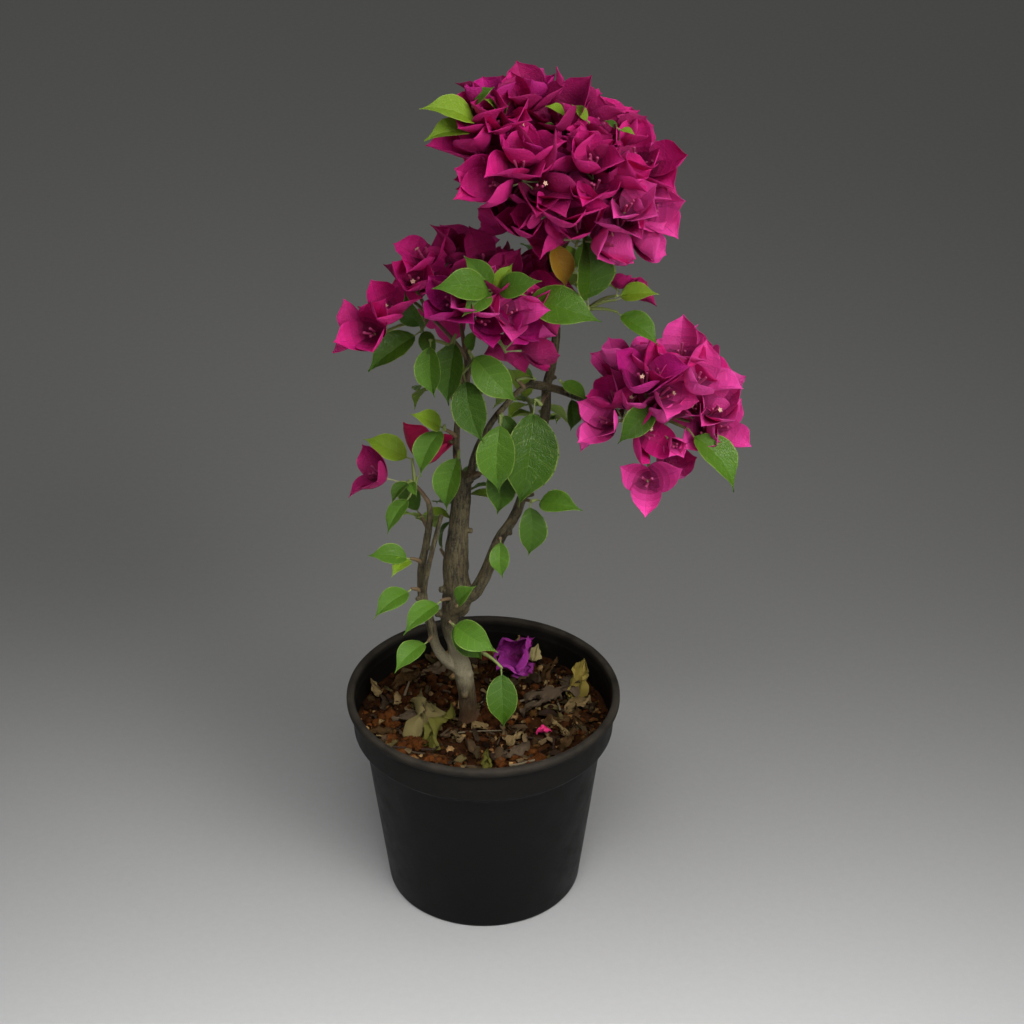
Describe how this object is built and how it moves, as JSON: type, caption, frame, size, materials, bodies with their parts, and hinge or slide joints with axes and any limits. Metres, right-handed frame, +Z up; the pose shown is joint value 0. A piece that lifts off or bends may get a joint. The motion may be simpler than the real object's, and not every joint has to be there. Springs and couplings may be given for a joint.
{
  "type": "potted bougainvillea bush",
  "caption": "Bougainvillea bush with a forked woody trunk, magenta flower heads and green leaves, grown in a round black nursery pot.",
  "frame": {"origin": "centre of the pot's flat underside", "axes": "+Z up; +X to the right and -Y towards the viewer of the picture"},
  "size_m": [0.2855, 0.2, 0.6485],
  "materials": {
    "pot_plastic": "satin near-black moulded plastic, scuffed, with a dusty worn lip",
    "potting_soil": "rough reddish-brown crumbly soil under dry leaf litter",
    "bark": "grey-brown bark with lengthwise fissures",
    "bracts": "papery magenta bracts with fine veins",
    "leaves": "semi-matt green leaves with a paler underside"
  },
  "bodies": {
    "root": {"pot": "pot_plastic", "soil": "potting_soil", "trunk": "bark", "stem_left": "bark", "stem_left_twin": "bark", "stem_right": "bark", "branch_top_left": "bark", "branch_top": "bark", "branch_cross": "bark", "head_top_left": "bracts", "head_top_right": "bracts", "head_top_back": "bracts", "head_left_outer": "bracts", "head_left_inner": "bracts", "head_left_back": "bracts", "head_right_front": "bracts", "head_right_back": "bracts", "spray_low_left": "bracts", "leaves_left_mid": "leaves", "leaf_trunk_front": "leaves", "leaves_hanging": "leaves", "leaves_centre": "leaves", "leaf_centre_right": "leaves", "leaf_fork": "leaves", "leaf_big": "leaves", "leaf_behind": "leaves", "leaves_right_low": "leaves", "leaf_right_stem": "leaves", "leaf_trunk_side": "leaves", "leaves_side_left": "leaves", "leaf_foot_left": "leaves", "leaf_foot_middle": "leaves", "leaf_foot_low": "leaves", "leaf_crotch": "leaves", "leaf_foot_right": "leaves", "leaf_sucker": "leaves", "spray_between": "bracts", "leaves_back_low": "leaves", "leaves_back_left": "leaves", "leaves_back_right": "leaves", "leaves_back_middle": "leaves", "leaves_back_high": "leaves", "leaves_cross": "leaves"}
  },
  "joints": []
}
